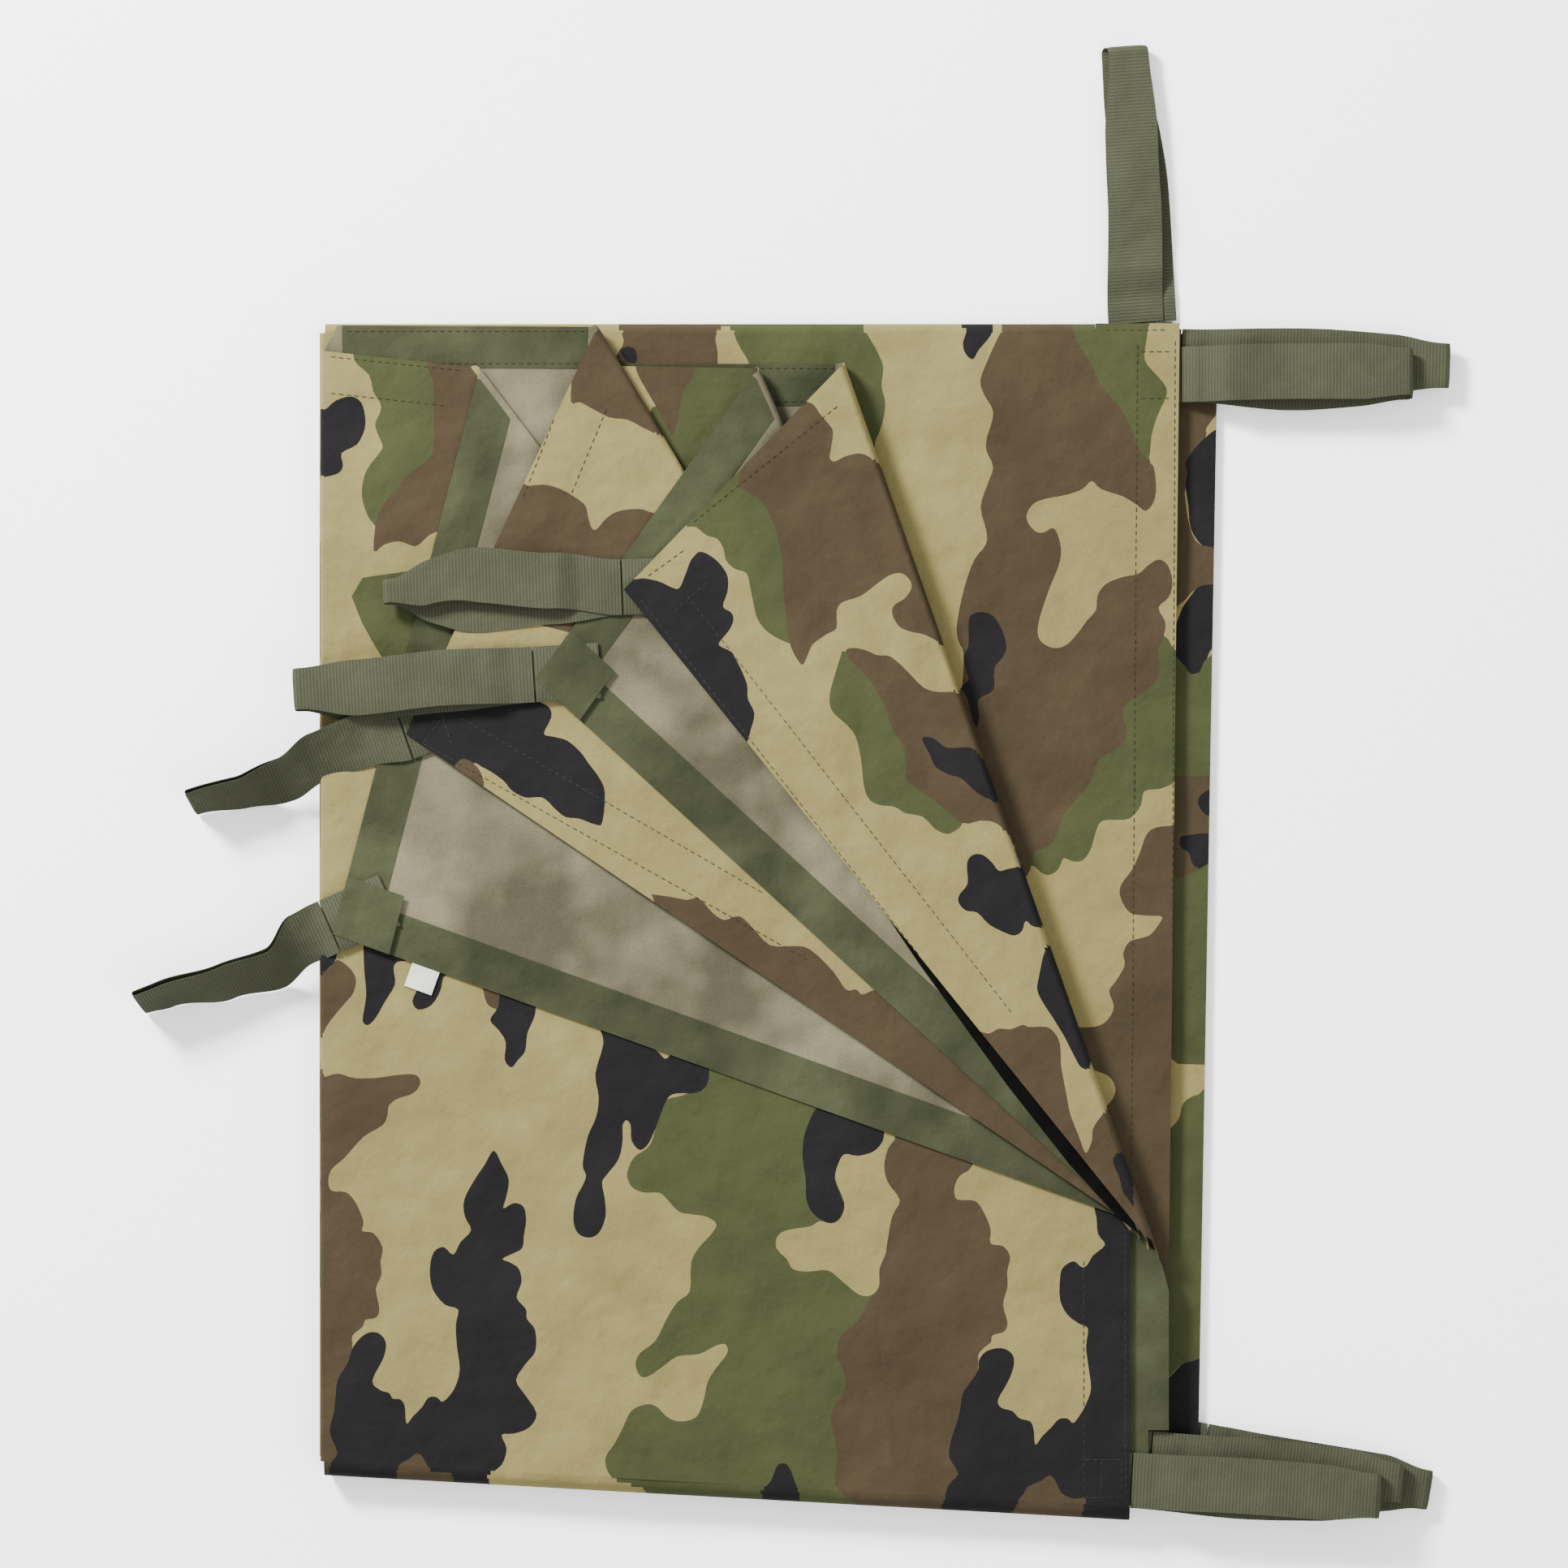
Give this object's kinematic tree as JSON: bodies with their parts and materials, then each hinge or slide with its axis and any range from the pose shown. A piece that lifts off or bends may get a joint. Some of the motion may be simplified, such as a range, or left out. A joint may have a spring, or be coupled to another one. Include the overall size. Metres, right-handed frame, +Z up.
{
  "type": "folding stretcher",
  "caption": "Soft poleless folding stretcher: a coated camouflage cloth litter with webbing hand loops, lying folded flat with its four end corners fanned back.",
  "frame": {"origin": "middle of the folded pile's bounding box, on the surface it lies on", "axes": "+X across the folded pile towards its long hems, +Y along the litter's length towards its end hems, +Z up"},
  "size_m": [0.5973, 0.6669, 0.0255],
  "materials": {
    "camouflage_cloth": "matt woven face, coated semi-gloss reverse",
    "seam_tape": "smooth semi-gloss tape",
    "webbing": "ribbed woven webbing",
    "label_tape": "plain white label tape"
  },
  "bodies": {
    "lower_half": {"panel_i": "camouflage_cloth", "panel_j": "camouflage_cloth", "panel_k": "camouflage_cloth", "panel_m": "camouflage_cloth", "hem_tape_i": "seam_tape", "hem_tape_j": "seam_tape", "hem_tape_k": "seam_tape", "hem_tape_m": "seam_tape", "left_fold_ij": "camouflage_cloth", "left_fold_km": "camouflage_cloth", "bottom_folds_lower": "camouflage_cloth", "top_folds": "camouflage_cloth", "sewn_ends_lower": "webbing"},
    "upper_half": {"panel_e": "camouflage_cloth", "panel_f": "camouflage_cloth", "panel_g": "camouflage_cloth", "panel_h": "camouflage_cloth", "hem_tape_e": "seam_tape", "hem_tape_f": "seam_tape", "hem_tape_g": "seam_tape", "hem_tape_h": "seam_tape", "end_tape_e": "seam_tape", "end_tape_f": "seam_tape", "end_tape_g": "seam_tape", "end_tape_h": "seam_tape", "left_fold_ef": "camouflage_cloth", "left_fold_gh": "camouflage_cloth", "bottom_folds_upper": "camouflage_cloth", "sewn_ends_upper": "webbing"},
    "corner_a": {"flap_a": "camouflage_cloth", "flap_end_tape_a": "seam_tape", "flap_hem_tape_a": "seam_tape", "sewn_end_a": "webbing"},
    "corner_b": {"flap_b": "camouflage_cloth", "flap_end_tape_b": "seam_tape", "flap_hem_tape_b": "seam_tape", "sewn_end_b": "webbing"},
    "corner_c": {"flap_c": "camouflage_cloth", "flap_end_tape_c": "seam_tape", "flap_hem_tape_c": "seam_tape", "sewn_end_c": "webbing"},
    "corner_d": {"flap_d": "camouflage_cloth", "flap_end_tape_d": "seam_tape", "flap_hem_tape_d": "seam_tape", "sewn_end_d": "webbing", "label": "label_tape"},
    "hand_corner_a": {"loop_corner_a": "webbing"},
    "hand_corner_b": {"loop_corner_b": "webbing"},
    "hand_corner_c": {"loop_corner_c": "webbing"},
    "hand_corner_d": {"loop_corner_d": "webbing"},
    "hand_bottom_front": {"loop_bottom_front": "webbing"},
    "hand_bottom_middle": {"loop_bottom_middle": "webbing"},
    "hand_bottom_back": {"loop_bottom_back": "webbing"},
    "hand_top_front": {"loop_top_front": "webbing"},
    "hand_top_back": {"loop_top_back": "webbing"},
    "hand_top_up": {"loop_top_up": "webbing"}
  },
  "joints": [
    {"name": "pile_opens", "type": "hinge", "parent": "lower_half", "child": "upper_half", "pos_m": [-0.02817, -0.323, 0.00865], "axis": [0.9985, -0.0556, 0], "range_deg": [0, 175]},
    {"name": "corner_a_turns", "type": "hinge", "parent": "upper_half", "child": "corner_a", "pos_m": [0.0954, -0.01155, 0.01565], "axis": [-0.3328, 0.943, 0], "range_deg": [0, 150]},
    {"name": "corner_b_turns", "type": "hinge", "parent": "upper_half", "child": "corner_b", "pos_m": [0.0736, -0.00985, 0.01565], "axis": [-0.407, 0.9134, 0], "range_deg": [0, 148]},
    {"name": "corner_c_turns", "type": "hinge", "parent": "upper_half", "child": "corner_c", "pos_m": [0.03545, 0.002, 0.01565], "axis": [-0.5137, 0.858, 0], "range_deg": [0, 148]},
    {"name": "corner_d_turns", "type": "hinge", "parent": "upper_half", "child": "corner_d", "pos_m": [0.00695, -0.0053, 0.01565], "axis": [-0.6067, 0.7949, 0], "range_deg": [0, 148]},
    {"name": "corner_a_lifts", "type": "hinge", "parent": "corner_a", "child": "hand_corner_a", "pos_m": [-0.0755, 0.0875, 0.02175], "axis": [-0.0349, 0.9994, 0], "range_deg": [0, 50]},
    {"name": "corner_b_lifts", "type": "hinge", "parent": "corner_b", "child": "hand_corner_b", "pos_m": [-0.115, 0.0483, 0.02175], "axis": [-0.061, 0.9981, 0], "range_deg": [0, 50]},
    {"name": "corner_c_lifts", "type": "hinge", "parent": "corner_c", "child": "hand_corner_c", "pos_m": [-0.1735, 0.022, 0.01825], "axis": [-0.3305, 0.9438, 0], "range_deg": [0, 45]},
    {"name": "corner_d_lifts", "type": "hinge", "parent": "corner_d", "child": "hand_corner_d", "pos_m": [-0.207, -0.065, 0.01825], "axis": [-0.4019, 0.9157, 0], "range_deg": [0, 50]},
    {"name": "bottom_front_lifts", "type": "hinge", "parent": "upper_half", "child": "hand_bottom_front", "pos_m": [0.1542, -0.3143, 0.01475], "axis": [-0.061, -0.9981, 0], "range_deg": [0, 50]},
    {"name": "bottom_middle_lifts", "type": "hinge", "parent": "upper_half", "child": "hand_bottom_middle", "pos_m": [0.1629, -0.305, 0.01125], "axis": [-0.1045, -0.9945, 0], "range_deg": [0, 45]},
    {"name": "bottom_back_lifts", "type": "hinge", "parent": "lower_half", "child": "hand_bottom_back", "pos_m": [0.1876, -0.3024, 0.00245], "axis": [-0.165, -0.9863, 0], "range_deg": [0, 40]},
    {"name": "top_front_lifts", "type": "hinge", "parent": "lower_half", "child": "hand_top_front", "pos_m": [0.177, 0.1839, 0.00775], "axis": [0, -1, 0], "range_deg": [0, 22]},
    {"name": "top_back_lifts", "type": "hinge", "parent": "lower_half", "child": "hand_top_back", "pos_m": [0.177, 0.192, 0.00595], "axis": [-0.0349, -0.9994, 0], "range_deg": [0, 20]},
    {"name": "top_up_lifts", "type": "hinge", "parent": "lower_half", "child": "hand_top_up", "pos_m": [0.1606, 0.2075, 0.00245], "axis": [0.9976, 0.0698, 0], "range_deg": [0, 50]}
  ],
  "couplings": [
    {"joint": "corner_b_turns", "follows": "corner_a_turns", "ratio": 0.97},
    {"joint": "corner_c_turns", "follows": "corner_a_turns", "ratio": 0.94},
    {"joint": "corner_d_turns", "follows": "corner_a_turns", "ratio": 0.91},
    {"joint": "corner_c_lifts", "follows": "corner_b_lifts", "ratio": 0.9},
    {"joint": "bottom_middle_lifts", "follows": "bottom_front_lifts", "ratio": 0.9},
    {"joint": "bottom_back_lifts", "follows": "bottom_front_lifts", "ratio": 0.8},
    {"joint": "top_back_lifts", "follows": "top_front_lifts", "ratio": 0.85}
  ]
}
